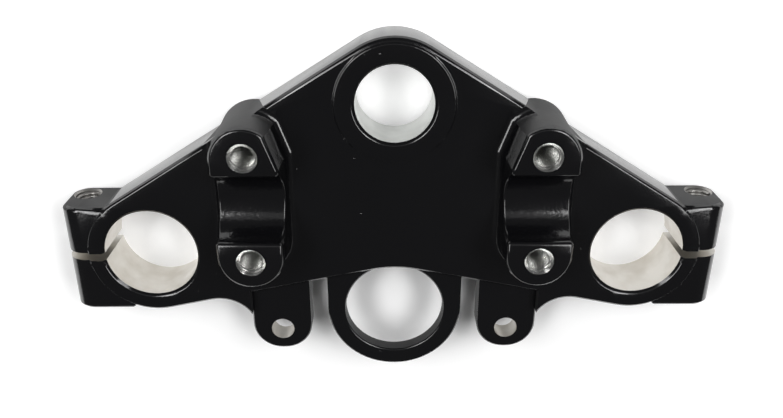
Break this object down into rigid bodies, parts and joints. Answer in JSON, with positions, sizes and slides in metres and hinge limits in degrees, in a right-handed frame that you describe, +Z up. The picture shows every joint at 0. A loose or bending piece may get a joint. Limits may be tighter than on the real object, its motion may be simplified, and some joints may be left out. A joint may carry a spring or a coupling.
{
  "type": "motorcycle upper triple clamp",
  "caption": "Cast upper fork yoke: a kite-shaped plate with a steering-stem bore, split fork clamps, handlebar risers, a key-switch ring and instrument ears.",
  "frame": {"origin": "on the steering-stem axis, at the seat under the stem boss", "axes": "+Z up along the stem axis, -Y to the front of the motorcycle, +X to the rider's left"},
  "size_m": [0.221, 0.1196, 0.035],
  "materials": {
    "painted_casting": "gloss black paint on cast aluminium, with bare machined bores, threads and saw cuts"
  },
  "bodies": {
    "root": {"top_yoke": "painted_casting"}
  },
  "joints": []
}
